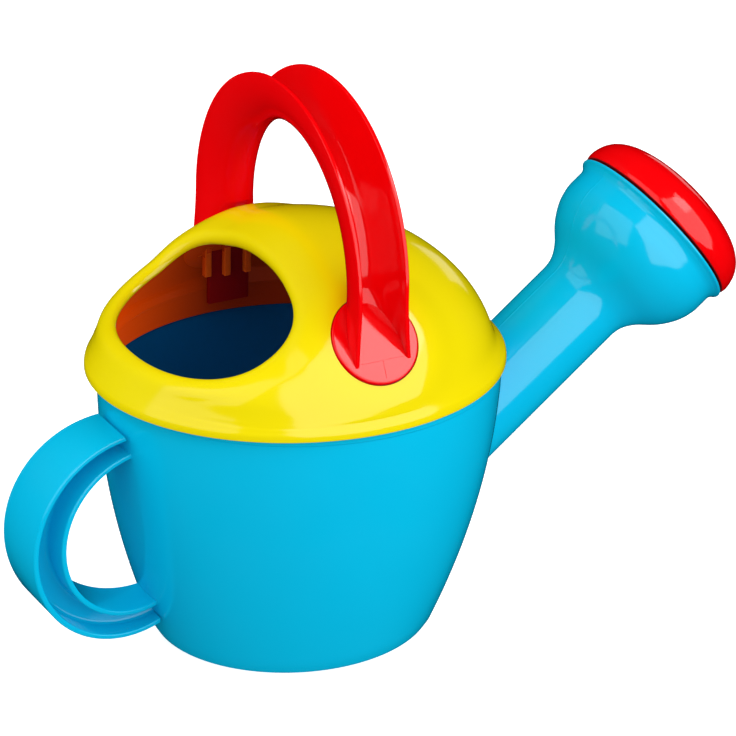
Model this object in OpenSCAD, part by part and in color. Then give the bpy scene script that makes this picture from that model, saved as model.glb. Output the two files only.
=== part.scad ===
// Toy watering can: oval cup with a rear handle, domed lid with a filler opening, arched top
// handle, spout with a bell mouth, and a pull-off sprinkler rose. Millimetres, +Z up, +X to the
// spout, origin in the middle of the cup's base.

/* [Cup] */
// Length of the plan divided by its width, for cup and lid
oval = 1.1; // [1:0.02:1.16]
// Width of the cup at its base
base_w = 95; // [88:1:102]
// Width of the cup under its lid
rim_w = 136; // [130:1:140]
// Height of the cup
cup_h = 102; // [96:1:106]
// Wall thickness of all moulded shells
wall = 2; // [1.6:0.1:2.4]

/* [Lid] */
// Width of the lid's brim
brim_w = 140; // [138:1:144]
// Height of the flared brim
brim_h = 7; // [6:0.5:10]
// Width of the dome where it meets the brim
dome_w = 131; // [128:1:133]
// Height of the dome above the brim's edge
dome_h = 52.8; // [48:0.2:58]
// Slope of the flat cut that carries the filler opening, from horizontal
cut_slope = 33; // [28:1:38]
// Size of the filler opening along its slope
filler_len = 56; // [48:1:58]
// Size of the filler opening across
filler_w = 84; // [70:1:86]

/* [Top handle] */
// Width of the gutter
grip_w = 20; // [17:0.5:22]
// Radius of the outer arch
arch_r = 62.6; // [60:0.2:65]
// Height of the arch's crown above the base
crown_z = 209; // [200:1:215]
// Diameter of each round foot
foot_d = 32; // [28:1:34]

/* [Rear handle] */
// Outer radius of the C-shaped handle
loop_r = 40.2; // [38:0.2:44]
// Inner radius of the C-shaped handle
loop_in_r = 30.6; // [27:0.2:32]
// Width of its flanges
loop_w = 24; // [20:0.5:28]

/* [Spout] */
// Angle of the spout above horizontal
spout_angle = 37.5; // [33:0.5:42]
// Outer diameter of the tube
tube_d = 35.6; // [32:0.2:38]
// Distance from the cup's centre plane to the bell's mouth, along the spout
mouth_s = 188; // [180:1:195]
// Outer diameter of the bell's mouth
mouth_d = 73; // [68:1:76]

/* [Rose] */
// Thickness of the sprinkler cap
rose_t = 19; // [16:1:22]
// Radius of each spray hole
spray_r = 1; // [0.8:0.1:1.4]
// Rings of spray holes around the middle one
spray_rings = 3; // [2:1:3]

/* [Hidden] */
$fn = 96;

gap = 0.3;
far = 200;
cup_steps = 8;
dome_steps = 10;
dome_power = 1.11;
cup_power = 1.9;
floor_z = 2.4;

// length of every cutting cylinder and of the level runs of the rear handle into the cup
cut_len = 60;
run_len = 30;

// the lid seats just above the cup's top edge and plugs into it
seat_z = cup_h + gap;
skirt_depth = 7;
skirt_t = 1.6;
skirt_r = rim_w / 2 - wall - 0.5;
dome_lift = 1.5;
dome_base_z = seat_z + dome_lift;
dome_rise = dome_h - dome_lift;
dome_r0 = dome_w / 2 + 0.5;

// brim: radius where its flare starts on the dome, and height of its upright edge
flare_r = dome_w / 2 - 0.6;
brim_edge = 2.5;
brim_steps = 5;

// sloping cut of the dome: a point on it and the middle of the filler opening
cut_x = -36.3;
cut_z = 136.8;
filler_x = -40.2;
filler_z = 134.5;

// round feet of the top handle: middle of the outer face, tilt of the face's normal above level
foot_y = 56.5;
foot_z = 131.8;
foot_tilt = 41.5;
foot_t = 2;
pad_margin = 2.5;
pad_t = 5.4;
arch_z = crown_z - arch_r;
leg_low_z = 110;

// gutter section of the arch: depth of its rounded floor below its straight rims, and wall
arch_depth = 14;
rim_depth = 2.4;
arch_t = 2.6;
section_steps = 8;

// tabs under the feet, which reach down into the lid between its guide ribs
tab_w = 16.5;
tab_t = 2.2;
tab_low_z = 103;
tab_high_z = foot_z + 1.2;
tab_y = 54.3;
rib_t = 2.4;
rib_w = 5;
rib_len = 22;
rib_z = foot_z - 12;
rib_x = tab_w / 2 + rib_t / 2 + gap;

// rear handle: middle of its outer arc, and of its inner arc
loop_x = -69;
loop_z = 50.9;
loop_in_x = -66;
loop_in_z = 51.7;
flange_t = 2.4;
web_t = 2.6;

// spout: its axis leaves the cup's centre line at this height
spout_z = 10.3;
spigot_r = 15;
fit_gap = 0.05;
socket_s = 68;
tube_start_s = 60;
tube_end_s = 150;
tube_r = tube_d / 2;
mouth_r = mouth_d / 2;
bore_r = spigot_r - wall;
bore_end = 8;

// bell's outside: how far out of the tube and how far past its end, then how far in from the
// mouth's rim and how far before it
bell_flare = [[0, 0], [0.6, 4], [4, 10], [10, 15.5]];
bell_bulb = [[5, 16.5], [3.4, 10], [3, 6], [0.8, 3], [0, 0]];

// rose: depth of its plug in the bell, and its outside from the seam to the face, as how far in
// from the mouth's rim and how far along
plug_len = 6;
plug_r = mouth_r - wall - 3.4;
plug_t = 1.6;
rose_side = [[0.2, 0], [-0.3, 0.8], [0.5, 5], [1.6, 9], [4, 12.5], [8, 15.4], [12, 16.6]];
rose_dome = 1;
spray_margin = 12;

// half width of the cup at height z
function cup_r(z) =
    base_w / 2 + (rim_w - base_w) / 2 * (1 - pow(1 - min(z / cup_h, 1), cup_power));

// quarter of a near ellipse from its foot to its crown, as points for a lathe profile
function quarter(r, h, z0) =
    [for (i = [0:dome_steps]) let (a = 90 * i / dome_steps)
        [r * cos(a), z0 + h * pow(sin(a), dome_power)]];

// moves its children to a place on the spout's axis, with +Z along the axis
module on_spout(s) {
    translate([0, 0, spout_z]) rotate([0, 90 - spout_angle, 0]) translate([0, 0, s]) children();
}

// moves its children onto a foot's outer face, with +Z out of it; side is -1 or 1 along Y
module on_foot(side) {
    translate([0, side * foot_y, foot_z]) rotate([-side * (90 - foot_tilt), 0, 0]) children();
}

// moves its children onto the sloping cut, with +Z out of it
module on_cut(x, z) {
    translate([x, 0, z]) rotate([0, -cut_slope, 0]) children();
}

// solid cup shape, smaller than the outside by inset, from low to the top edge and past it
module cup_form(inset, low, past) {
    steps = [for (i = [0:cup_steps]) low + (cup_h - low) * i / cup_steps];
    scale([oval, 1, 1])
        rotate_extrude()
            polygon(concat(
                [[0, low]],
                [for (z = steps) [cup_r(z) - inset, z]],
                [[rim_w / 2 - inset, cup_h + past], [0, cup_h + past]]
            ));
}

// solid dome shape, smaller than the outside by inset
module dome_form(inset) {
    intersection() {
        scale([oval, 1, 1])
            rotate_extrude()
                polygon(concat(
                    [[0, seat_z], [dome_r0 - inset, seat_z]],
                    quarter(dome_r0 - inset, dome_rise - inset, dome_base_z)
                ));
        on_cut(cut_x, cut_z) translate([0, 0, -far / 2 - inset]) cube(far, center = true);
    }
}

// disc of the rear handle's outline, in the XZ plane, with level runs into the cup
module loop_disc(x, z, r, past) {
    translate([x, z]) {
        circle(r);
        translate([0, -r]) square([run_len + past, 2 * r]);
    }
}

// one flange or the web of the rear handle, between two discs of its outline
module loop_band(x_out, z_out, r_out, x_in, z_in, r_in, width) {
    rotate([90, 0, 0])
        linear_extrude(height = width, center = true)
            difference() {
                loop_disc(x_out, z_out, r_out, 0);
                loop_disc(x_in, z_in, r_in, 10);
            }
}

module cup() {
    color("deepskyblue")
        difference() {
            union() {
                difference() {
                    union() {
                        cup_form(0, -1, 0);
                        loop_band(loop_x, loop_z, loop_r, loop_x, loop_z, loop_r - flange_t, loop_w);
                        loop_band(
                            loop_in_x, loop_in_z, loop_in_r + flange_t,
                            loop_in_x, loop_in_z, loop_in_r, loop_w
                        );
                        loop_band(
                            loop_x, loop_z, loop_r - 1, loop_in_x, loop_in_z, loop_in_r + 1, web_t
                        );
                    }
                    cup_form(wall, floor_z, 1);
                }
                intersection() {
                    on_spout(socket_s) cylinder(r = spigot_r + wall, h = cut_len);
                    cup_form(wall / 2, floor_z, 0);
                }
            }
            on_spout(socket_s - 1) cylinder(r = spigot_r + fit_gap, h = cut_len);
            translate([0, 0, -far / 2]) cube([2 * far, 2 * far, far], center = true);
        }
}

// brim with a flared outside and an upright edge, and the skirt that plugs into the cup
module brim() {
    flare_w = brim_w / 2 - flare_r;
    flare_h = brim_h - brim_edge;
    flare = [for (i = [0:brim_steps]) let (a = 90 - 90 * i / brim_steps)
        [flare_r + flare_w * cos(a), seat_z + brim_edge + flare_h * sin(a)]];
    scale([oval, 1, 1])
        rotate_extrude()
            polygon(concat(
                [[flare_r + 0.6 - wall, seat_z + brim_h]],
                flare,
                [
                    [brim_w / 2, seat_z],
                    [skirt_r, seat_z],
                    [skirt_r, seat_z - skirt_depth],
                    [skirt_r - skirt_t, seat_z - skirt_depth],
                    [skirt_r - skirt_t, seat_z + brim_edge]
                ]
            ));
}

// slot and pocket for one foot of the top handle
module foot_pocket(side) {
    on_foot(side) translate([0, 0, -foot_t - gap]) cylinder(d = foot_d + 2 * gap, h = cut_len);
    translate([-tab_w / 2 - gap, side * tab_y - tab_t / 2 - gap, tab_low_z])
        cube([tab_w + 2 * gap, tab_t + 2 * gap, cut_len]);
}

// guide ribs inside the lid: one beside each edge of a tab, and one on its inner face
module tab_guides(side) {
    for (x = [-rib_x, rib_x])
        translate([x, side * (tab_y - 1), rib_z]) cube([rib_t, rib_w, rib_len], center = true);
    translate([0, side * (tab_y - tab_t - 1.2), rib_z]) cube([rib_t, tab_t, rib_len], center = true);
}

module lid() {
    color("gold")
        difference() {
            union() {
                difference() {
                    dome_form(0);
                    dome_form(wall);
                }
                brim();
                intersection() {
                    for (side = [-1, 1]) {
                        on_foot(side)
                            translate([0, 0, -pad_t - 2 * gap])
                                cylinder(r = foot_d / 2 + pad_margin, h = pad_t);
                        tab_guides(side);
                    }
                    translate([0, 0, 1]) dome_form(-1.5);
                }
            }
            on_cut(filler_x, filler_z)
                scale([filler_len / filler_w, 1, 1])
                    cylinder(d = filler_w, h = cut_len, center = true);
            for (side = [-1, 1]) foot_pocket(side);
        }
}

// gutter section at arch radius arch_r, open outwards, smaller than the outside by inset
module gutter(inset, past) {
    half = grip_w / 2 - inset;
    deep = arch_depth - inset;
    floor = [for (i = [-section_steps:section_steps]) let (a = 90 * i / section_steps)
        [arch_r - rim_depth - deep * cos(a), half * sin(a)]];
    polygon(concat(floor, [[arch_r + past, half], [arch_r + past, -half]]));
}

module grip_section() {
    difference() {
        gutter(0, 0);
        gutter(arch_t, 5);
    }
}

// region just under one foot's outer face, where its leg ends
module under_foot(side) {
    block = 1.25 * foot_d;
    on_foot(side)
        translate([0, 0, -block / 2 - foot_t / 4]) cube([block, 1.25 * block, block], center = true);
}

module top_handle() {
    color("red") {
        difference() {
            union() {
                intersection() {
                    translate([0, 0, arch_z]) rotate([0, 90, 0]) rotate_extrude() grip_section();
                    translate([0, 0, arch_z + far / 2]) cube(far, center = true);
                }
                for (turn = [-90, 90])
                    translate([0, 0, leg_low_z])
                        rotate([0, 0, turn])
                            linear_extrude(height = arch_z - leg_low_z) grip_section();
            }
            for (side = [-1, 1]) under_foot(side);
        }
        for (side = [-1, 1]) {
            on_foot(side) translate([0, 0, -foot_t]) cylinder(d = foot_d, h = foot_t);
            translate([-tab_w / 2, side * tab_y - tab_t / 2, tab_low_z])
                cube([tab_w, tab_t, tab_high_z - tab_low_z]);
        }
    }
}

// lathe profile of the bell, from the tube's end to the mouth, smaller than its outside by inset
// and measured along the spout from start
function bell_profile(inset, start) = concat(
    [for (p = bell_flare) [tube_r + p[0] - inset, tube_end_s + p[1] + inset / 2 - start]],
    [for (p = bell_bulb) [mouth_r - p[0] - inset, mouth_s - p[1] - start]]
);

// body of revolution on the spout's axis, from start to past the mouth
module spout_form(r, inset, start, past) {
    on_spout(start)
        rotate_extrude()
            polygon(concat(
                [[0, 0], [r, 0]],
                bell_profile(inset, start),
                [[mouth_r - inset, mouth_s - start + past], [0, mouth_s - start + past]]
            ));
}

module spout() {
    color("deepskyblue")
        difference() {
            union() {
                difference() {
                    spout_form(tube_r, 0, tube_start_s, 0);
                    cup_form(-fit_gap * 3, 0, 20);
                }
                on_spout(socket_s + 1) cylinder(r = spigot_r, h = cut_len);
            }
            on_spout(socket_s) cylinder(r = bore_r, h = tube_end_s - socket_s);
            spout_form(bore_r, wall, tube_end_s - bore_end, 2);
        }
}

// spray holes in rings, six more in each ring than in the one inside it
module spray_holes() {
    pitch = (mouth_r - spray_margin) / spray_rings;
    cylinder(r = spray_r, h = cut_len, $fn = 16);
    for (ring = [1:spray_rings], i = [0:6 * ring - 1])
        rotate([0, 0, 60 * i / ring])
            translate([ring * pitch, 0, 0]) cylinder(r = spray_r, h = cut_len, $fn = 16);
}

module rose() {
    inside = [for (i = [len(rose_side) - 1:-1:4])
        [mouth_r - rose_side[i][0] - 0.4 * wall, rose_side[i][1] - wall]];
    color("red")
        on_spout(mouth_s + gap)
            difference() {
                rotate_extrude()
                    polygon(concat(
                        [[plug_r - plug_t, -plug_len], [plug_r, -plug_len], [plug_r, 0]],
                        [for (p = rose_side) [mouth_r - p[0], p[1]]],
                        [[mouth_r / 2, rose_t - rose_dome], [0, rose_t]],
                        [[0, rose_t - wall], [mouth_r / 2, rose_t - rose_dome - wall]],
                        inside,
                        [[plug_r - plug_t, rose_side[3][1] - wall]]
                    ));
                translate([0, 0, rose_t / 2]) spray_holes();
            }
}

cup();
lid();
top_handle();
spout();
rose();
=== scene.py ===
"""Looks of a toy watering can: cup with rear handle, domed lid, top handle, spout and rose."""

import math

import bmesh
import bpy
import numpy as np
from mathutils import Matrix, Vector
from mathutils.kdtree import KDTree


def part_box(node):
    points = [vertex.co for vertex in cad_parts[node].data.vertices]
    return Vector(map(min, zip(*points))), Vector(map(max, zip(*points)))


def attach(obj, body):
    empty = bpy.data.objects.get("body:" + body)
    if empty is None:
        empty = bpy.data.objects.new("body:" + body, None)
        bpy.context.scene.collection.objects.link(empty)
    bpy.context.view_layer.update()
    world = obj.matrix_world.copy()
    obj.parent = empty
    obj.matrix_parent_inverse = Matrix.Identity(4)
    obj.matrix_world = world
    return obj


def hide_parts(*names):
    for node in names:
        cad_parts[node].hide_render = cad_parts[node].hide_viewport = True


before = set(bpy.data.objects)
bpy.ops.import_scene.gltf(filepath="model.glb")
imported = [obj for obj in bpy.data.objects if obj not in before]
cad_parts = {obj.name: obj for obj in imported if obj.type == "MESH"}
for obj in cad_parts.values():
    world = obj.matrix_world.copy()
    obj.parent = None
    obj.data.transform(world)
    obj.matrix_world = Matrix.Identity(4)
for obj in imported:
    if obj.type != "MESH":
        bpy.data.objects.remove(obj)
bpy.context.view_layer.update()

# Sizes of pieces are in millimetres, in the can's own frame: +Z up, +X to the spout. Those of the
# stage, its camera and its lights are in metres.
MM = 0.001
WALL = 2.0
X, Y, Z = np.eye(3)


def box_mm(node):
    """Lowest and highest corner of a CAD node."""
    return [np.array(corner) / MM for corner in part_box(node)]


cup_high = box_mm("cup")[1]
lid_low, lid_high = box_mm("lid")
grip_high = box_mm("top_handle")[1]

# Radii are those across Y. Rings of the cup and lid are OVAL times as long along X.
OVAL = lid_high[0] / lid_high[1]
GAP = 0.3
RIM_R = cup_high[1]
CUP_H = cup_high[2]
BASE_R = 0.7 * RIM_R
BRIM_R = lid_high[1]
SKIRT_Z = lid_low[2]
SEAT_Z = CUP_H + GAP
CROWN_Z = grip_high[2]
MID_WALL = 0.5 * WALL


# ---------------------------------------------------------------- mesh tools

def unit(v):
    return v / np.linalg.norm(v, axis=-1, keepdims=True)


def smooth_step(x):
    x = np.clip(x, 0, 1)
    return x * x * (3 - 2 * x)


def rounded(corners, closed=False, steps=6):
    """Outline through corners (x, y, radius), each turned by an arc of its radius."""
    points = []
    count = len(corners)
    for i, (x, y, radius) in enumerate(corners):
        here = np.array([x, y])
        if radius == 0 or (not closed and i in (0, count - 1)):
            points.append(here)
            continue
        back = np.array(corners[i - 1][:2]) - here
        on = np.array(corners[(i + 1) % count][:2]) - here
        a, b = unit(back), unit(on)
        half = math.acos(np.clip(a @ b, -1, 1)) / 2
        reach = min(radius / math.tan(half), 0.49 * np.linalg.norm(back), 0.49 * np.linalg.norm(on))
        radius = reach * math.tan(half)
        middle = here + unit(a + b) * radius / math.sin(half)
        start, end = here + a * reach - middle, here + b * reach - middle
        turn = math.pi - 2 * half
        for k in range(steps + 1):
            t = k / steps
            mix = math.sin((1 - t) * turn) * start + math.sin(t * turn) * end
            points.append(middle + mix / math.sin(turn))
    return np.array(points)


def smooth_curve(points, steps=6):
    """Rounded curve (Catmull-Rom) through points, with steps between each two of them."""
    p = np.array(points, float)
    p = np.vstack([2 * p[0] - p[1], p, 2 * p[-1] - p[-2]])
    t = (np.arange(steps) / steps)[:, None]
    curve = []
    for a, b, c, d in zip(p, p[1:], p[2:], p[3:]):
        bend = (2 * a - 5 * b + 4 * c - d) * t + (3 * b - a - 3 * c + d) * t * t
        curve.append(b + t * ((c - a) + bend) / 2)
    return np.vstack([*curve, p[-2]])


def lathe(outline, turns, origin, axes, oval=1.0):
    """Rows of points: outline's (radius, height) turned about the third of axes."""
    e1, e2, e3 = axes
    r = outline[:, 0][:, None, None]
    h = outline[:, 1][:, None, None]
    ring = np.cos(turns)[:, None] * e1 * oval + np.sin(turns)[:, None] * e2
    return origin + r * ring[None] + h * e3


def circle_turns(count):
    return np.arange(count) * 2 * math.pi / count


def bezier(start, c1, c2, end, t):
    """Points at the shares t of the curve from start to end with control points c1 and c2."""
    u = 1 - t
    return u ** 3 * start + 3 * u * u * t * c1 + 3 * u * t * t * c2 + t ** 3 * end


def upright_box(x, y, width, depth, corner, heights):
    """Rows of an upright bar round (x, y) with rounded edges, one row at each of heights."""
    corners = rounded([
        (x - width / 2, y - depth / 2, corner),
        (x + width / 2, y - depth / 2, corner),
        (x + width / 2, y + depth / 2, corner),
        (x - width / 2, y + depth / 2, corner),
    ], closed=True, steps=3)
    return [np.column_stack([corners, np.full(len(corners), z)]) for z in heights]


def grid_faces(mesh, rows, loop=False, capped=False):
    """Adds rows of points, each closed round, to a bmesh.

    loop joins the last row to the first, and capped closes these two with a face each.
    """
    verts = [[mesh.verts.new(p * MM) for p in row] for row in rows]
    pairs = list(zip(verts, verts[1:]))
    if loop:
        pairs.append((verts[-1], verts[0]))
    for low, high in pairs:
        for j in range(len(low)):
            k = (j + 1) % len(low)
            mesh.faces.new((low[j], low[k], high[k], high[j]))
    if capped:
        mesh.faces.new(verts[0][::-1])
        mesh.faces.new(verts[-1])


def finished(mesh):
    """Merges the points at poles, removes faces without area and turns the others outwards."""
    merge = 0.001 * MM
    bmesh.ops.remove_doubles(mesh, verts=mesh.verts, dist=merge)
    bmesh.ops.dissolve_degenerate(mesh, edges=mesh.edges, dist=merge / 2)
    bmesh.ops.recalc_face_normals(mesh, faces=mesh.faces)


def new_object(name, *grids):
    """Object from grids, each a tuple of arguments for grid_faces."""
    mesh = bmesh.new()
    for grid in grids:
        part = bmesh.new()
        grid_faces(part, *grid)
        finished(part)
        data = bpy.data.meshes.new("part")
        part.to_mesh(data)
        part.free()
        mesh.from_mesh(data)
        bpy.data.meshes.remove(data)
    data = bpy.data.meshes.new(name)
    mesh.to_mesh(data)
    mesh.free()
    piece = bpy.data.objects.new(name, data)
    bpy.context.collection.objects.link(piece)
    return piece


def carve(piece, cutter):
    """Cuts the closed shape of cutter out of piece, and removes cutter."""
    cut = piece.modifiers.new("cut", "BOOLEAN")
    cut.operation = "DIFFERENCE"
    cut.solver = "EXACT"
    cut.use_self = False
    cut.object = cutter
    graph = bpy.context.evaluated_depsgraph_get()
    data = bpy.data.meshes.new_from_object(piece.evaluated_get(graph))
    piece.modifiers.clear()
    old = piece.data
    piece.data = data
    bpy.data.meshes.remove(old)
    bpy.data.objects.remove(cutter)


def join(piece, *others):
    """Adds the meshes of others to piece, and removes others."""
    mesh = bmesh.new()
    mesh.from_mesh(piece.data)
    for other in others:
        mesh.from_mesh(other.data)
        bpy.data.objects.remove(other)
    mesh.to_mesh(piece.data)
    mesh.free()
    return piece


def paint_nearest(piece, *groups):
    """Gives each face of piece the first, second... material, as the nearest of groups says."""
    trees = []
    for points in groups:
        tree = KDTree(len(points))
        for i, point in enumerate(points):
            tree.insert(point * MM, i)
        tree.balance()
        trees.append(tree)
    for polygon in piece.data.polygons:
        reaches = [tree.find(polygon.center)[2] for tree in trees]
        polygon.material_index = int(np.argmin(reaches))


def corner_points(piece):
    """Corners of a piece's mesh in millimetres."""
    return np.array([vertex.co for vertex in piece.data.vertices]) / MM


def paint_second(piece, is_shaded):
    """Gives the second material, a painted shade, to each face of piece whose middle passes the
    given test.
    """
    for polygon in piece.data.polygons:
        if is_shaded(np.array(polygon.center) / MM):
            polygon.material_index = 1


def finish_piece(piece, body, node, slot, *materials, crease=32):
    """Shades a piece, gives it its materials, and hangs it on the frame."""
    for polygon in piece.data.polygons:
        polygon.use_smooth = True
    piece.data.set_sharp_from_angle(angle=math.radians(crease))
    piece.data.materials.clear()
    for material in materials:
        piece.data.materials.append(material)
    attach(piece, body)
    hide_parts(node)
    return piece


# ---------------------------------------------------------------- cup

CUP_POWER = 1.93
CUP_BULGE = RIM_R - BASE_R
CUP_LEAN, CUP_NARROW = 1.7, 0.013
LOOP_OUT_MID, LOOP_OUT_R = np.array([-68.95, 0, 50.85]), 40.23
LOOP_IN_MID, LOOP_IN_R = np.array([-65.92, 0, 51.7]), 30.6
SPOUT_Z = 10.3
SPOUT_TILT = math.radians(37.5)
SPIGOT_R = 15.0
BORE_R = SPIGOT_R + 0.05
TUBE_R = 17.8
SPOUT_AXIS = np.array([math.cos(SPOUT_TILT), 0, math.sin(SPOUT_TILT)])
SPOUT_UP = np.array([-math.sin(SPOUT_TILT), 0, math.cos(SPOUT_TILT)])
SPOUT_AXES = (SPOUT_UP, Y, SPOUT_AXIS)
SPOUT_FROM = np.array([0, 0, SPOUT_Z])


def cup_radius(z):
    """Half width of the cup's outside at height z."""
    return BASE_R + CUP_BULGE * (1 - (1 - np.clip(z / CUP_H, 0, 1)) ** CUP_POWER)


def lean(points, back=False):
    """Moves rings of the cup towards the spout and shortens them along X, more the higher they
    lie. back undoes it.
    """
    high = points[..., 2] / CUP_H
    moved = points.copy()
    if back:
        moved[..., 0] = (points[..., 0] - CUP_LEAN * high) / (1 - CUP_NARROW * high)
    else:
        moved[..., 0] = CUP_LEAN * high + points[..., 0] * (1 - CUP_NARROW * high)
    return moved


def outside_cup(points, inset):
    """How far points lie outside the cup's surface moved in by inset, measured across Y."""
    upright = lean(points, back=True)
    reach = np.hypot(upright[..., 0] / OVAL, upright[..., 1])
    return reach - cup_radius(upright[..., 2]) + inset


def reach_cup(starts, direction, inset, far=160.0):
    """Where lines from starts, inside the cup, leave its surface moved in by inset."""
    low = np.zeros(len(starts))
    high = np.full(len(starts), far)
    for _ in range(40):
        middle = (low + high) / 2
        out = outside_cup(starts + middle[:, None] * direction, inset) > 0
        high = np.where(out, middle, high)
        low = np.where(out, low, middle)
    return starts + low[:, None] * direction


def cup_outline():
    """Closed outline of the cup's wall and floor, from the middle of its base to its floor."""
    bead, floor, inside_corner = 0.5, 2.4, 9
    heights = np.linspace(3.0, CUP_H - 3.0, 26)
    outside = [(cup_radius(z), z, 0) for z in heights]
    inside = [(cup_radius(z) - WALL, z, 0) for z in heights[::-1] if z > inside_corner]
    return rounded([
        (0, 0, 0),
        (cup_radius(0) - 0.6, 0, 1.6),
        *outside,
        (RIM_R - 0.1, CUP_H - 2.4, 0.2),
        (RIM_R + bead, CUP_H - 2.0, 0.3),
        (RIM_R + bead, CUP_H, 0.5),
        (RIM_R - WALL, CUP_H, 0.6),
        *inside,
        (cup_radius(floor) - WALL - 0.3, floor, 5),
        (0, floor, 0),
    ])


def loop_section(depth, half_width):
    """I-shaped section of the rear handle: (distance out from its inner face, sideways)."""
    flange, web, edge = 2.0, 1.3, 0.6
    side = [
        (depth, half_width, edge),
        (depth - flange, half_width, edge),
        (depth - flange - 0.3, web, 1.4),
        (flange + 0.3, web, 1.4),
        (flange, half_width, edge),
        (0, half_width, edge),
    ]
    other = [(r, -y, c) for r, y, c in side[::-1]]
    return rounded(side + other, closed=True, steps=4)


def rear_handle():
    """Rows of the C-shaped rear handle, whose ends run into the cup's wall."""
    # Half widths and angles round the loop, in degrees, at its top, back and low end.
    top_half, back_half, low_half = 11.3, 13.2, 9.8
    top, back, low = 96, 180, 286
    rows = []
    for degrees in np.linspace(top, low, 90):
        away = math.cos(math.radians(degrees)) * X + math.sin(math.radians(degrees)) * Z
        outer = LOOP_OUT_MID + LOOP_OUT_R * away
        inner = LOOP_IN_MID + LOOP_IN_R * away
        depth = np.linalg.norm(outer - inner)
        t = (degrees - back) / 80
        half = back_half + (low_half - top_half) / 2 * t
        half += ((top_half + low_half) / 2 - back_half) * t * t
        section = loop_section(depth, half)
        row = inner + section[:, :1] * (outer - inner) / depth + section[:, 1:] * Y
        landed = reach_cup(row * [0, 1, 1], -X, MID_WALL)
        row[:, 0] = np.minimum(row[:, 0], landed[:, 0])
        rows.append(row)
    return rows


def spout_ring(radius, turns):
    """Ring about the spout's axis, where that starts inside the cup."""
    return lathe(np.array([[radius, 0.0]]), turns, SPOUT_FROM, SPOUT_AXES)[0]


def socket_collar(turns):
    """Rows of the ring inside the cup that holds the spout's spigot."""
    outer, start = SPIGOT_R + WALL, 67.0
    ends = [reach_cup(spout_ring(r, turns), SPOUT_AXIS, MID_WALL) for r in (BORE_R, outer)]
    near = lathe(rounded([(BORE_R, start, 0), (outer, start, 0)]), turns, SPOUT_FROM, SPOUT_AXES)
    return [ends[0], near[0], near[1], ends[1]]


def make_cup():
    """The cup, with points of its shown and of its hidden faces."""
    rows = lean(lathe(cup_outline(), circle_turns(256), 0 * Z, (X, Y, Z), OVAL))
    cup = new_object("watering_can_cup", (rows,))
    turns = circle_turns(96)
    start, end = 50, 110
    bore = rounded([(0, start, 0), (BORE_R, start, 0), (BORE_R, end, 0), (0, end, 0)])
    carve(cup, new_object("bore", (lathe(bore, turns, SPOUT_FROM, SPOUT_AXES),)))
    handle_rows = rear_handle()
    handle = new_object("rear_handle", (handle_rows, False, True))
    collar_rows = socket_collar(turns)
    collar = new_object("collar", (collar_rows, True))
    bore_end, bore_near, ring_near, ring_end = collar_rows
    hidden_share = 0.3
    collar_points = [bore_near, bore_near + hidden_share * (bore_end - bore_near)]
    collar_points += [ring_near, ring_near + hidden_share * (ring_end - ring_near)]
    first_inside = len(rows) // 2 + 4
    # Faces nearest the hidden points get the painted shade of the second material.
    hidden = np.vstack([rows[first_inside:].reshape(-1, 3), *collar_points])
    shown = np.vstack([rows[:first_inside].reshape(-1, 3), *handle_rows])
    return join(cup, handle, collar), shown, hidden


# ---------------------------------------------------------------- lid

DOME_Z = 103.8
DOME_HALF_X, DOME_HALF_Y = 72.7, 68.4
DOME_RISE = lid_high[2] - DOME_Z
DOME_SIZE = np.array([DOME_HALF_X, DOME_HALF_Y, DOME_RISE])
DOME_MID = np.array([0, 0, DOME_Z])
DOME_POWER = 1.8
FLARE_Z = 110.6
FOOT_SHRINK = math.sqrt(1 - ((FLARE_Z - DOME_Z) / DOME_RISE) ** DOME_POWER)
CUT_MID = np.array([-36.3, 0, 132.2])
CUT_TILT = math.radians(61.6)
CUT_UP = np.array([math.sin(CUT_TILT), 0, math.cos(CUT_TILT)])
CUT_OUT = np.array([-math.cos(CUT_TILT), 0, math.sin(CUT_TILT)])
CUT_BEND = 0.0039
LIP_STEPS = 8
FOOT_Y, FOOT_Z = 56.5, 131.8
FOOT_TILT = math.radians(41.5)
FOOT_R = 16.0
FOOT_T = 2.0
TAB_W, TAB_T, TAB_Y = 16.5, 2.2, 54.3


def foot_axes(side):
    """Axes of one round foot's outer face: along X, up its slope, and out of it."""
    out = np.array([0, side * math.cos(FOOT_TILT), math.sin(FOOT_TILT)])
    up = np.array([0, -side * math.sin(FOOT_TILT), math.cos(FOOT_TILT)])
    return X, up, out


def foot_middle(side):
    return np.array([0, side * FOOT_Y, FOOT_Z])


def on_dome(directions):
    """Points of the dome, a near ellipsoid, in directions from its middle."""
    flat = ((directions / DOME_SIZE)[..., :2] ** 2).sum(-1, keepdims=True)
    rise = np.maximum(directions[..., 2:] / DOME_RISE, 0)
    reach = 1 / np.sqrt(flat + rise * rise)
    for _ in range(12):
        over = flat * reach ** 2 + (rise * reach) ** DOME_POWER - 1
        steep = 2 * flat * reach + DOME_POWER * rise ** DOME_POWER * reach ** (DOME_POWER - 1)
        reach = reach - over / steep
    return DOME_MID + reach * directions


def filler_edge(turns):
    """Edge of the filler opening, a squarish oval on a bent slope, with its local axes."""
    half_up, half_across, power = 28.06, 43.2, 2 / 2.2
    shift, side_rise = -4.35, 2.4
    c, s = np.cos(turns), np.sin(turns)
    along = shift + half_up * np.sign(c) * abs(c) ** power + side_rise * s * s
    across = half_across * np.sign(s) * abs(s) ** power
    bend, slope = CUT_BEND * across ** 2, 2 * CUT_BEND * across
    edge = CUT_MID + along[:, None] * CUT_UP + across[:, None] * Y - bend[:, None] * CUT_OUT
    out = unit(CUT_OUT + slope[:, None] * Y)
    tangent = np.roll(edge, -1, 0) - np.roll(edge, 1, 0)
    inward = unit(np.cross(out, tangent))
    return edge, inward, out


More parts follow.
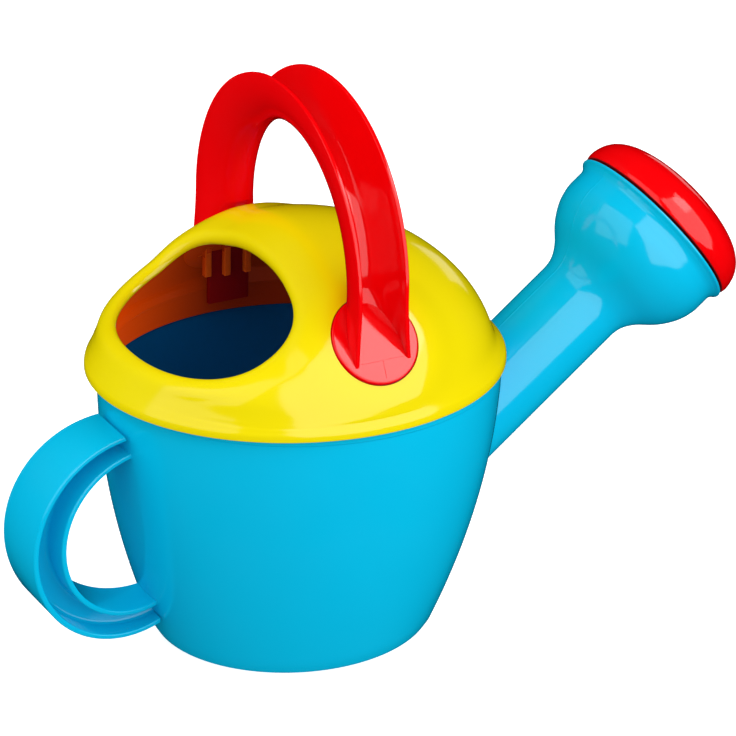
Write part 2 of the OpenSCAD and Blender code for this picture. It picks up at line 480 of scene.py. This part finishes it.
def lid_shell(turns):
    """Rows of the lid's outside, from the edge of the filler opening to the foot of the dome."""
    edge, inward, out = filler_edge(turns)
    lip_w, least_h, extra_h = 4.0, 1.3, 3.0
    lip_h = least_h + extra_h * np.sqrt((1 + np.cos(turns)) / 2)
    middle = edge - lip_w * inward
    rows = []
    for k in np.linspace(math.pi / 2, 0, LIP_STEPS + 1):
        rows.append(middle + lip_w * math.sin(k) * inward + (lip_h * math.cos(k))[:, None] * out)
    crest = rows[-1]
    c, s = np.cos(turns)[:, None], np.sin(turns)[:, None]
    foot = FOOT_SHRINK * (c * DOME_HALF_X * X + s * DOME_HALF_Y * Y) + FLARE_Z * Z
    from_dir, to_dir = unit(crest - DOME_MID), unit(foot - DOME_MID)
    angle = np.arccos(np.clip((from_dir * to_dir).sum(1), -1, 1))[:, None]

    def dome_row(t):
        mix = np.sin((1 - t) * angle) * from_dir + np.sin(t * angle) * to_dir
        return on_dome(mix / np.sin(angle))

    length = np.linalg.norm(foot - crest, axis=1, keepdims=True)
    low_side = (1 - c) / 2
    least_blend, extra_blend, most_share = 16.0, 12.0, 0.8
    blend = np.minimum(least_blend + extra_blend * low_side, most_share * length) / length
    land = dome_row(blend)
    onward = unit(dome_row(blend + 0.01) - land)
    pull = 0.42 * np.linalg.norm(land - crest, axis=1, keepdims=True)
    c1, c2 = crest - pull * inward, land - pull * onward
    for t in np.linspace(0, 1, 17)[1:]:
        rows.append(bezier(crest, c1, c2, land, t))
    for t in np.linspace(0, 1, 41)[1:]:
        rows.append(dome_row(blend + (1 - blend) * t))
    return np.array(rows)


def profile_places(rows):
    """How far each point lies along its profile, which crosses the rows, from the first row."""
    steps = np.linalg.norm(np.diff(rows, axis=0), axis=2)
    return np.vstack([np.zeros(rows.shape[1]), np.cumsum(steps, axis=0)])


def fill_low_side(rows, turns, leave):
    """Fills the hollow between the lip's crest, the first row, and the brim round the low side."""
    crest_pull, brim_pull, most = 0.34, 0.1, 0.65
    place = profile_places(rows)
    t = (place / place[-1])[..., None]
    length = np.linalg.norm(rows[-1] - rows[0], axis=1, keepdims=True)
    c1, c2 = rows[0] + crest_pull * length * leave, rows[-1] + brim_pull * length * Z
    share = most * smooth_step((0.5 - np.cos(turns)) / 0.9)
    return rows + share[:, None] * (bezier(rows[0], c1, c2, rows[-1], t) - rows)


def soften(rows, turns):
    """Smooths the profile from the lip's crest, row 0, to the brim, most on the low side."""
    least, extra, end_widths = 2.0, 3.2, 1.6
    place = profile_places(rows)
    width = least + extra * (1 - np.cos(turns)) / 2
    apart = (place[:, None] - place[None]) / width
    weight = np.exp(-apart ** 2 / 2) * np.gradient(place, axis=0)[None]
    even = np.einsum("ijk,jkl->ikl", weight, rows) / weight.sum(1)[..., None]
    to_end = np.minimum(place, place[-1] - place)
    return rows + smooth_step(to_end / (end_widths * width))[..., None] * (even - rows)


def swell_to_feet(rows):
    """Raises the dome softly round each foot so that the foot's face lies level with it."""
    near, wide = FOOT_R + 1.0, FOOT_R + 19.0
    level, limit, lowest = -0.6, 3.4, -20
    for side in (-1, 1):
        along, up, out = foot_axes(side)
        offset = rows - foot_middle(side)
        height = offset @ out
        reach = np.hypot(offset @ along, offset @ up)
        weight = smooth_step((wide - reach) / (wide - near)) * (height > lowest)
        raised = limit * np.tanh((level - height) / limit)
        rows = rows + (weight * raised)[..., None] * out
    return rows


def grid_normals(rows):
    """Outward normals of a grid of rows that close round, from neighbouring points."""
    round_way = np.roll(rows, -1, 1) - np.roll(rows, 1, 1)
    down_way = np.gradient(rows, axis=0)
    return unit(np.cross(down_way, round_way))


def lid_rim(turns):
    """Rows of the brim, its underside and the plug skirt, from the dome's outside to its inside,
    and how many of them are on the brim's upper side.
    """
    start = FOOT_SHRINK * DOME_HALF_Y
    flare = smooth_curve([
        (start, FLARE_Z), (start + 0.4, FLARE_Z - 1.3), (start + 1.1, FLARE_Z - 2.3),
        (BRIM_R - 0.9, FLARE_Z - 3.4), (BRIM_R - 0.2, SEAT_Z + 3.4), (BRIM_R, SEAT_Z + 1.5),
    ])
    skirt_r, skirt_in = 65.4, 63.8
    under = rounded([
        (BRIM_R, SEAT_Z + 1.5, 0),
        (BRIM_R, SEAT_Z, 0.5),
        (BRIM_R - 1.6, SEAT_Z, 0.4),
        (BRIM_R - 1.9, SEAT_Z + 0.9, 0.3),
        (skirt_r, SEAT_Z + 0.9, 0.3),
        *[(skirt_r, z, 0) for z in np.linspace(SEAT_Z, SKIRT_Z + 1.2, 8)],
        (skirt_r, SKIRT_Z, 0.6),
        (skirt_in, SKIRT_Z, 0.6),
        *[(skirt_in, z, 0) for z in np.linspace(SKIRT_Z + 1.2, SEAT_Z + 2, 8)],
        (skirt_in, SEAT_Z + 3, 0.6),
        (start - 2.6, SEAT_Z + 5, 0),
    ], steps=4)
    outline = np.vstack([flare[1:], under[1:]])
    flare_rows = len(flare) - 1
    rows = lathe(outline, turns, 0 * Z, (X, Y, Z), OVAL)
    at_dome = np.clip((BRIM_R - outline[:, 0]) / (BRIM_R - start), 0, 1)
    at_dome = at_dome * (outline[:, 1] > SEAT_Z + 2)
    narrower = OVAL * start - FOOT_SHRINK * DOME_HALF_X
    return rows - (at_dome * narrower)[:, None, None] * (np.cos(turns)[:, None] * X), flare_rows


def guide_ribs(side):
    """Upright ribs inside the lid behind the tab of one foot."""
    width, low, high = 2.6, FOOT_Z - 16, FOOT_Z - 1
    left, middle, right = -TAB_W / 2 - 1.1, -2.4, TAB_W / 2 - 2.2
    ribs = []
    for x, depth, shift in ((left, 3.0, -1.6), (right, 2.6, -3.6), (middle, 2.6, -3.6)):
        rows = upright_box(x, side * (TAB_Y + shift), width, depth, 0.4, np.linspace(low, high, 9))
        ribs.append(new_object("rib", (rows, False, True)))
    return ribs


def foot_object(name, side, outline, count):
    """Object turned about the middle of one foot's face from outline's (radius, height)."""
    rows = lathe(outline, circle_turns(count), foot_middle(side), foot_axes(side))
    return new_object(name, (rows,))


def make_lid():
    """The lid, with points of its shown, hidden and ribbed faces."""
    turns = circle_turns(240)
    outside = swell_to_feet(lid_shell(turns))
    rim, flare_rows = lid_rim(turns)
    dome_rows = len(outside) - LIP_STEPS
    profile = np.concatenate([outside[LIP_STEPS:], rim[:flare_rows]])
    profile = fill_low_side(profile, turns, -filler_edge(turns)[1])
    soft = soften(profile, turns)
    outside = np.concatenate([outside[:LIP_STEPS], soft[:dome_rows]])
    rim = np.concatenate([soft[dome_rows:], rim[flare_rows:]])
    inside = outside - WALL * grid_normals(outside)
    edge_out, edge_in = outside[0], inside[0]
    edge_mid = (edge_out + edge_in) / 2
    down = -filler_edge(turns)[2]
    edge_rows = []
    for angle in (0.25 * math.pi, 0.5 * math.pi, 0.75 * math.pi):
        bulge = 0.8 * math.sin(angle) * down
        edge_rows.append(edge_mid + math.cos(angle) * (edge_in - edge_mid) + bulge)
    rows = np.concatenate([outside, rim, inside[::-1], np.array(edge_rows)])
    lid = new_object("lid_dome", (rows, True))

    radius, low, high = FOOT_R + GAP, -FOOT_T - GAP, 9
    pocket = rounded([(0, low, 0), (radius, low, 0), (radius, high, 0), (0, high, 0)])
    boss_low, boss_high = -7.0, -2.5
    flat = [(r, boss_low, 0) for r in np.linspace(0, 17, 10)]
    boss = rounded([
        *flat, (18.5, boss_low, 0.8), (18.0, -5.2, 0), (15.0, boss_high, 0), (0, boss_high, 0),
    ])
    ribs, bosses = [], []
    for side in (-1, 1):
        carve(lid, foot_object("pocket", side, pocket, 96))
        ribs.extend(guide_ribs(side))
        bosses.append(foot_object("boss", side, boss, 64))
    # The inside, the inner rim and the bosses get painted shade; the ribs get their own painted
    # shade.
    inner_rim = np.arange(len(rim)) > np.argmin(rim[:, 0, 2]) + 2
    shown = np.vstack([outside.reshape(-1, 3), rim[~inner_rim].reshape(-1, 3), *edge_rows])
    boss_points = map(corner_points, bosses)
    hidden = np.vstack([inside.reshape(-1, 3), rim[inner_rim].reshape(-1, 3), *boss_points])
    ribbed = np.vstack([corner_points(rib) for rib in ribs])
    return join(lid, *ribs, *bosses), (shown, hidden, ribbed)


# ---------------------------------------------------------------- top handle

ARCH_R = 61.7
ARCH_Z = CROWN_Z - 0.3 - ARCH_R
# The tabs lie in shade below TAB_SHADE_Z. FOOT_LINES are the marks on each foot's face.
TAB_SHADE_Z = FOOT_Z - 13
FOOT_LINES = (((-8.5, -7.8), (10.4, -7.8)), ((0.1, -7.9), (-0.7, -14.0)))


def grip_section(half, rim, deep):
    """Closed section of the handle's gutter: (sideways, outwards from its straight rims)."""
    wall, floor = 1.7, 2.1
    turns = np.linspace(-math.pi / 2, math.pi / 2, 25)
    outside = [(half * math.sin(a), -rim - deep * math.cos(a), 0) for a in turns]
    groove = []
    for a in turns[::-1]:
        groove.append(((half - wall) * math.sin(a), -rim - (deep - floor) * math.cos(a), 0))
    return rounded([
        *outside,
        (half - 0.1, 0, 0.5),
        (half - wall, 0, 0.5),
        *groove,
        (wall - half, 0, 0.5),
        (0.1 - half, 0, 0.5),
    ], closed=True, steps=4)


def grip_rows():
    """Rows of the arched gutter, from one foot's face to the other's."""
    crown_half, spring_half, foot_half = 10.4, 9.9, 11.0
    rim, deep = 3.0, 15.0
    rows = []
    arcs = 72
    for i in range(arcs + 1):
        angle = math.pi * i / arcs
        away = np.array([0, -math.cos(angle), math.sin(angle)])
        half = crown_half + (spring_half - crown_half) * (1 - 2 * i / arcs) ** 2
        section = grip_section(half, rim, deep)
        rows.append(ARCH_Z * Z + section[:, :1] * X + (ARCH_R + section[:, 1:]) * away)
    for side in (-1, 1):
        face = foot_axes(side)[2]
        level = foot_middle(side) @ face - 0.4
        legs = []
        for t in np.linspace(0, 1, 17)[1:]:
            half = spring_half + (foot_half - spring_half) * t ** 1.5
            section = grip_section(half, rim - 0.6 * t * t, deep - t * t)
            away = (ARCH_R + 0.7 * t * t + section[:, 1:]) * side
            row = ARCH_Z * Z + section[:, :1] * X + away * Y
            drop = (row @ face - level) / face[2]
            legs.append(row - (drop * t)[:, None] * Z)
        rows = legs[::-1] + rows if side < 0 else rows + legs
    return rows


def witness_line(side, start, end):
    """Thin cutter over a foot's face between two (along X, up the slope) points of that face."""
    half, deep, over = 0.16, 0.2, 0.3
    axes = foot_axes(side)
    start, end = np.array(start), np.array(end)
    across = half * unit(np.array([start[1] - end[1], end[0] - start[0]]))
    corners = [start + across, start - across, end - across, end + across]
    rows = []
    for height in (-deep, over):
        rows.append(np.array([foot_middle(side) + np.array([*c, height]) @ axes for c in corners]))
    return rows


def make_top_handle():
    """The arched grip with a round foot and a flat tab at each end."""
    disc = rounded([(0, -FOOT_T, 0), (FOOT_R, -FOOT_T, 0.3), (FOOT_R, 0, 0.8), (0, 0, 0)])
    tab_heights = (104.0, FOOT_Z - 0.6)
    parts, feet = [(grip_rows(), False, True)], []
    for side in (-1, 1):
        foot = foot_object("foot", side, disc, 128)
        for ends in FOOT_LINES:
            carve(foot, new_object("line", (witness_line(side, *ends), False, True)))
        feet.append(foot)
        tab = upright_box(0, side * TAB_Y, TAB_W, TAB_T, 0.5, tab_heights)
        parts.append((tab, False, True))
    return join(new_object("top_handle_arch", *parts), *feet)


# ---------------------------------------------------------------- spout and rose

# The bell's mouth lies MOUTH_S along the spout's axis, and the rose begins at SEAM. Faces of the
# rose that are less than SEAM_SHADE past it lie in shade.
MOUTH_S = 190.0
SEAM = SPOUT_FROM + (MOUTH_S + GAP) * SPOUT_AXIS
SEAM_SHADE = 0.8


def spout_turns(count=144):
    """Angles round the spout, closer together at its two parting lines."""
    fine = np.array([-1.2, -0.8, -0.5, 0.5, 0.8, 1.2]) * math.pi / 180
    plain = circle_turns(count)
    extra = np.concatenate([fine, fine + math.pi]) % (2 * math.pi)
    return np.sort(np.concatenate([plain, extra]))


def bell_outline():
    """Outline from the tube over the bell to the mouth's edge and back along the inside, and how
    many of its points are outside.
    """
    bore = SPIGOT_R - WALL
    outside = smooth_curve([
        (TUBE_R, 142), (TUBE_R, 147), (TUBE_R + 0.1, 151.5), (18.9, 155.5), (21.8, 160),
        (27.4, 165.8), (31.3, 172), (33.1, 178), (33.3, 183), (33.4, 186.2), (34.4, 188.2),
    ])
    lip = rounded([
        (34.4, 188.2, 0),
        (35.5, 189.0, 0.7),
        (35.5, MOUTH_S - 0.1, 0.4),
        (33.5, MOUTH_S - 0.1, 0.4),
        (32.4, 188.4, 0),
    ])
    inside = smooth_curve([
        (32.4, 188.4), (31.5, 186.6), (31.2, 183), (31.0, 178), (29.3, 172.6), (25.6, 167),
        (20, 161.8), (15.6, 157.5), (bore, 153), (bore, 148),
    ])
    return np.vstack([outside, lip[1:-1], inside]), len(outside)


def make_spout():
    """The tube and bell, with a fine ridge along each parting line."""
    turns = spout_turns()
    into_cup, spigot_end = 0.3, 68.5
    root = reach_cup(spout_ring(TUBE_R, turns), SPOUT_AXIS, into_cup)
    neck = reach_cup(spout_ring(SPIGOT_R, turns), SPOUT_AXIS, into_cup)
    outline, outside_count = bell_outline()
    shell = lathe(outline, turns, SPOUT_FROM, SPOUT_AXES)
    tube = [root + (shell[0] - root) * t for t in np.linspace(0, 1, 12)[:-1]]
    bore = lathe(rounded([
        (SPIGOT_R - WALL, spigot_end, 0.5),
        (SPIGOT_R, spigot_end, 0.5),
        (SPIGOT_R, 80, 0),
    ]), turns, SPOUT_FROM, SPOUT_AXES)
    rows = np.concatenate([tube, shell, bore[:-1], neck[None]])

    ridge_h, ridge_w = 0.12, 0.25
    offset = rows - SPOUT_FROM
    along = offset @ SPOUT_AXIS
    away = offset - along[..., None] * SPOUT_AXIS
    radius = np.linalg.norm(away, axis=-1)
    lift = ridge_h * np.exp(-(away @ Y / ridge_w) ** 2)
    lift[len(tube) + outside_count:] = 0
    rows = rows + lift[..., None] * away / radius[..., None]
    return new_object("spout_bell", (rows, True))


def rose_outline():
    """Closed outline of the sprinkler cap and its plug: (radius, distance past the seam)."""
    face = smooth_curve([
        (0, 19.3), (8, 19.0), (15, 18.3), (20, 17.3), (25, 15.8), (29.2, 13.8), (32.4, 11.2),
        (34.5, 8.0), (35.5, 4.7), (35.7, 2.6), (35.5, 1.2),
    ])
    plug_r, plug_in, plug_end = 31.1, 29.5, -6
    plug = rounded([
        (35.5, 1.2, 0),
        (35.2, 0.5, 0.4),
        (plug_r, 0.5, 0.3),
        *[(plug_r, z, 0) for z in np.linspace(0, plug_end + 1, 6)],
        (plug_r, plug_end, 0.6),
        (plug_in, plug_end, 0.6),
        (plug_in, 6, 3),
        (26.5, 12.4, 4),
        (19.0, 15.4, 8),
        (0, 17.2, 0),
    ])
    return np.vstack([face, plug[1:]])


def make_rose():
    """The sprinkler cap with its holes in rings round a middle one."""
    outline = lathe(rose_outline(), circle_turns(160), SEAM, SPOUT_AXES)
    rose = new_object("sprinkler_rose", (outline,))
    rings, field_r, hole_r = 3, 24.5, 1.0
    low, high = 9, 28
    spots = [(0.0, 0.0)]
    for ring in range(1, rings + 1):
        for i in range(6 * ring):
            spots.append((ring * field_r / rings, math.pi / 3 * i / ring))
    drill = rounded([(0, low, 0), (hole_r, low, 0), (hole_r, high, 0), (0, high, 0)])
    drills = []
    for reach, turn in spots:
        spot = SEAM + reach * (math.cos(turn) * SPOUT_UP + math.sin(turn) * Y)
        drills.append((lathe(drill, circle_turns(16), spot, SPOUT_AXES),))
    carve(rose, new_object("drills", *drills))
    return rose


# ---------------------------------------------------------------- materials

def linear(*srgb):
    """Linear colour of an sRGB one given from 0 to 255."""
    colour = []
    for c in srgb:
        colour.append(((c / 255 + 0.055) / 1.055) ** 2.4 if c > 10 else c / 255 / 12.92)
    return [*colour, 1]


def plastic(name, colour, deep, roughness, ior=1.6):
    """Glossy moulded plastic: soft changes of shade, flow marks, and a faintly uneven surface."""
    material = bpy.data.materials.new(name)
    material.use_nodes = True
    nodes, links = material.node_tree.nodes, material.node_tree.links
    shader = nodes["Principled BSDF"]
    shader.inputs["IOR"].default_value = ior
    place = nodes.new("ShaderNodeTexCoord")

    def noise(scale, detail):
        node = nodes.new("ShaderNodeTexNoise")
        node.inputs["Scale"].default_value = scale
        node.inputs["Detail"].default_value = detail
        links.new(place.outputs["Object"], node.inputs["Vector"])
        return node.outputs["Fac"]

    shade = nodes.new("ShaderNodeValToRGB")
    for element, position, value in zip(shade.color_ramp.elements, (0.3, 0.7), (deep, colour)):
        element.position = position
        element.color = value
    links.new(noise(14, 3), shade.inputs["Fac"])
    links.new(shade.outputs["Color"], shader.inputs["Base Color"])

    gloss = nodes.new("ShaderNodeMapRange")
    gloss.inputs["To Min"].default_value = roughness - 0.03
    gloss.inputs["To Max"].default_value = roughness + 0.05
    links.new(noise(60, 6), gloss.inputs["Value"])
    links.new(gloss.outputs["Result"], shader.inputs["Roughness"])

    bump = nodes.new("ShaderNodeBump")
    bump.inputs["Strength"].default_value = 0.05
    bump.inputs["Distance"].default_value = 0.001
    links.new(noise(110, 2), bump.inputs["Height"])
    links.new(bump.outputs["Normal"], shader.inputs["Normal"])
    return material


def glow(material, near, far, near_x, far_x):
    """Painted light through the thin wall, given as emission: two linear colours, mixed along X in
    millimetres.
    """
    nodes, links = material.node_tree.nodes, material.node_tree.links
    shader = nodes["Principled BSDF"]
    place = nodes.new("ShaderNodeTexCoord")
    split = nodes.new("ShaderNodeSeparateXYZ")
    links.new(place.outputs["Object"], split.inputs["Vector"])
    along = nodes.new("ShaderNodeMapRange")
    along.interpolation_type = "SMOOTHSTEP"
    along.inputs["From Min"].default_value = near_x * MM
    along.inputs["From Max"].default_value = far_x * MM
    links.new(split.outputs["X"], along.inputs["Value"])
    shade = nodes.new("ShaderNodeValToRGB")
    shade.color_ramp.elements[0].color = [*near, 1]
    shade.color_ramp.elements[1].color = [*far, 1]
    links.new(along.outputs["Result"], shade.inputs["Fac"])
    links.new(shade.outputs["Color"], shader.inputs["Emission Color"])
    shader.inputs["Emission Strength"].default_value = 1


# ---------------------------------------------------------------- stage

TARGET = Vector((0.03, 0, 0.09))


def heading(azimuth, elevation):
    """Unit vector from the can to a viewer at these degrees, 0, 0 being the front."""
    a, e = math.radians(azimuth), math.radians(elevation)
    return Vector((math.sin(a) * math.cos(e), -math.cos(a) * math.cos(e), math.sin(e)))


def make_camera():
    """Camera at the viewing angle: turned left of the front, looking down, slightly rolled."""
    azimuth, elevation, roll = -29.81494, 24.31999, math.radians(1.543595)
    place = (-0.528947, -0.974761, 0.599979)
    data = bpy.data.cameras.new("camera")
    data.sensor_width = 36
    data.lens = 166.144
    data.clip_end = 20
    camera = bpy.data.objects.new("camera", data)
    bpy.context.collection.objects.link(camera)
    back = heading(azimuth, elevation)
    right = Vector((math.cos(math.radians(azimuth)), math.sin(math.radians(azimuth)), 0))
    up = back.cross(right)
    turned_right = math.cos(roll) * right + math.sin(roll) * up
    turned_up = -math.sin(roll) * right + math.cos(roll) * up
    turn = Matrix((turned_right, turned_up, back)).transposed().to_4x4()
    camera.matrix_world = Matrix.Translation(place) @ turn
    bpy.context.scene.camera = camera


def softbox(name, azimuth, elevation, distance, width, height, radiance, gloss=True):
    """Rectangular light that faces the can from a direction round it.

    Without gloss, no glossy surface mirrors the light.
    """
    data = bpy.data.lights.new(name, "AREA")
    data.shape = "RECTANGLE"
    data.size = width
    data.size_y = height
    data.energy = radiance * math.pi * width * height
    light = bpy.data.objects.new(name, data)
    bpy.context.collection.objects.link(light)
    out = heading(azimuth, elevation)
    light.visible_glossy = gloss
    light.location = TARGET + out * distance
    light.rotation_mode = "QUATERNION"
    light.rotation_quaternion = out.to_track_quat("Z", "Y")


def make_stage():
    """White floor that glows evenly, white surroundings that gloss doesn't show, and softboxes."""
    bpy.ops.mesh.primitive_plane_add(size=30)
    floor = bpy.context.object
    floor.name = "floor"
    white = bpy.data.materials.new("floor_white")
    white.use_nodes = True
    shader = white.node_tree.nodes["Principled BSDF"]
    shader.inputs["Base Color"].default_value = (0.8, 0.8, 0.8, 1)
    shader.inputs["Roughness"].default_value = 1
    shader.inputs["Emission Color"].default_value = (1, 1, 1, 1)
    shader.inputs["Emission Strength"].default_value = 0.75
    floor.data.materials.append(white)
    floor.visible_glossy = False
    floor.visible_diffuse = False

    world = bpy.data.worlds.new("studio")
    world.use_nodes = True
    background = world.node_tree.nodes["Background"]
    background.inputs["Color"].default_value = (1, 1, 1, 1)
    background.inputs["Strength"].default_value = 0.56
    bpy.context.scene.world = world
    world.cycles_visibility.glossy = False

    # Azimuth, elevation, distance, width, height and radiance of each light.
    softbox("key_softbox", 14, 23, 1.3, 2.0, 1.8, 1.5)
    softbox("key_centre", 43, 47, 1.2, 0.5, 0.4, 2.2)
    softbox("side_softbox", -78, 33, 1.3, 1.3, 1.25, 0.75)
    softbox("rear_side_softbox", -131, 33, 1.3, 1.3, 1.25, 1.3, gloss=False)
    softbox("edge_softbox", 126, 5, 1.3, 0.35, 0.25, 0.6)

    bpy.context.scene.view_settings.view_transform = "Standard"


# ---------------------------------------------------------------- the can

make_camera()
make_stage()

BLUE = plastic("blue_plastic", linear(2, 190, 232), linear(2, 186, 229), 0.1)
YELLOW = plastic("yellow_plastic", linear(238, 220, 2), linear(236, 215, 2), 0.1)
RED = plastic("red_plastic", linear(243, 0, 6), linear(239, 0, 5), 0.09)
# Darker blue for the cup's inside faces and its collar: painted shade.
SHADED_BLUE = plastic("blue_plastic_inside_painted_shade", linear(2, 110, 178), linear(2, 104, 172), 0.45, 1.3)
# Orange-brown for the lid's inside faces, its inner rim and the bosses: painted shade.
SHADE_GLOW_YELLOW = plastic("yellow_plastic_inside_painted_shade_and_glow", linear(150, 40, 3), linear(142, 34, 2), 0.5, 1.3)
# Emission on the lid's inside, brighter towards -X: painted light.
glow(SHADE_GLOW_YELLOW, (0.48, 0.045, 0.0), (0.03, 0.003, 0.0), -66, 8)
# Orange for the ribs inside the lid: painted shade.
SHADED_RIB_YELLOW = plastic("yellow_plastic_ribs_painted_shade", linear(232, 106, 18), linear(226, 98, 15), 0.5, 1.3)
# Darker red for the tabs and the rose's seam: painted shade.
SHADED_RED = plastic("red_plastic_painted_shade", linear(146, 0, 4), linear(138, 0, 3), 0.5, 1.3)

cup, cup_shown, cup_hidden = make_cup()
finish_piece(cup, "can", "cup", "blue_plastic", BLUE, SHADED_BLUE)
# Faces nearest the hidden points, inside the cup and on its collar, get the painted shade.
paint_nearest(cup, cup_shown, cup_hidden)
lid, lid_points = make_lid()
finish_piece(lid, "lid", "lid", "yellow_plastic", YELLOW, SHADE_GLOW_YELLOW, SHADED_RIB_YELLOW)
# Faces nearest the hidden points get the painted shade and glow, the ribs their painted shade.
paint_nearest(lid, *lid_points)
lid.visible_glossy = False
top_handle = finish_piece(make_top_handle(), "lid", "top_handle", "red_plastic", RED, SHADED_RED)
# The tabs below TAB_SHADE_Z get the painted shade.
paint_second(top_handle, lambda point: point[2] < TAB_SHADE_Z)
spout = finish_piece(make_spout(), "can", "spout", "blue_plastic", BLUE)
spout.visible_glossy = False
rose = finish_piece(make_rose(), "rose", "rose", "red_plastic", RED, SHADED_RED)
# Faces of the rose just past the seam get the painted shade.
paint_second(rose, lambda point: (point - SEAM) @ SPOUT_AXIS < SEAM_SHADE)
